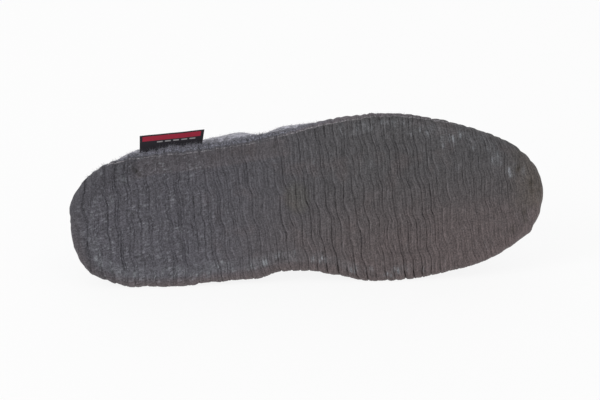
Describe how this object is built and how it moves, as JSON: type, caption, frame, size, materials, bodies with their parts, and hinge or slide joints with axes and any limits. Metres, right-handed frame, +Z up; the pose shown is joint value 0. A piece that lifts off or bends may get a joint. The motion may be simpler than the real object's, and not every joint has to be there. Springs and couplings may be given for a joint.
{
  "type": "slipper",
  "caption": "Felt house slipper for the right foot with a low collar and a wavy-ribbed rubber cup sole, lying on its inner side.",
  "frame": {"origin": "on the floor, under the middle of the slipper's box as it lies on its inner side", "axes": "+X from heel to toe, -Y out of the sole, +Y to the collar, +Z up, to the outer side of the foot"},
  "size_m": [0.2681, 0.0775, 0.0957],
  "materials": {
    "rubber": "matt dark grey rubber with wavy ribs across it",
    "felt": "mid grey melange wool felt",
    "footbed": "grey felt",
    "ribbon": "black woven ribbon with a plain red band"
  },
  "bodies": {
    "root": {"outsole": "rubber", "upper": "felt", "insole": "footbed", "label": "ribbon"}
  },
  "joints": []
}
